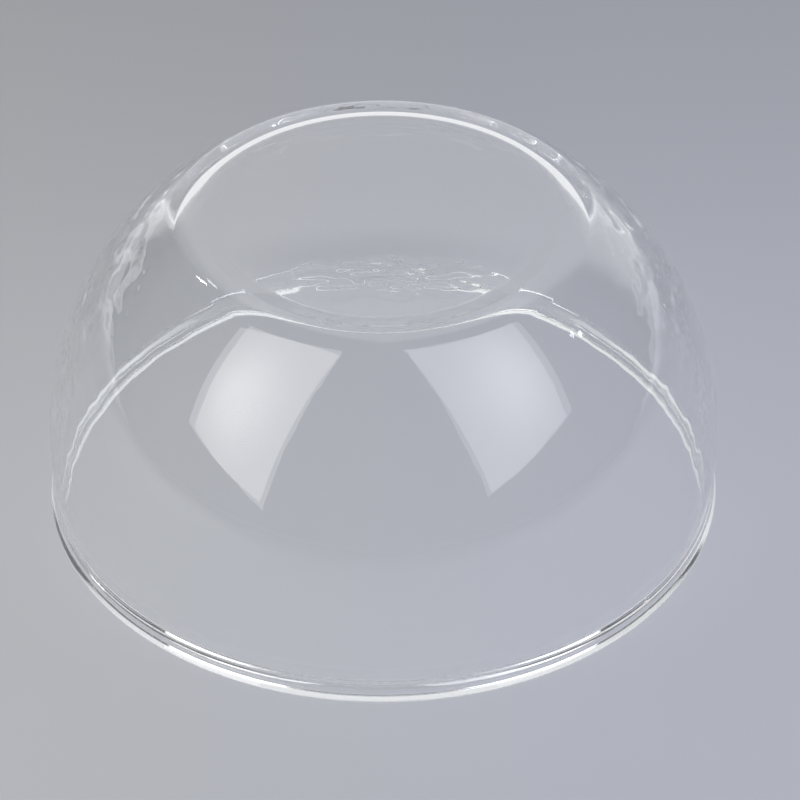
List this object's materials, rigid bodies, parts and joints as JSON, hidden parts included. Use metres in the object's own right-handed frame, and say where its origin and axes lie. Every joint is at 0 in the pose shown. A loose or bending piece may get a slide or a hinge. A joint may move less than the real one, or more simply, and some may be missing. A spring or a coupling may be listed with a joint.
{
  "type": "glass evaporating dish",
  "caption": "Clear glass dish with round sides, a flat base and a flat-bottomed rim band, shown standing mouth down on its rim.",
  "frame": {"origin": "centre of the circle that the rim stands on, at the bottom of the dish as it stands mouth down", "axes": "+Z is the axis of the dish, from the rim up to the outer face of the base; the dish is round, so X and Y are free"},
  "size_m": [0.15, 0.15, 0.0737],
  "materials": {
    "clear_glass": "clear, colourless, fire-polished"
  },
  "bodies": {
    "root": {"rim_band": "clear_glass", "side_wall": "clear_glass", "heel": "clear_glass", "base": "clear_glass"}
  },
  "joints": []
}
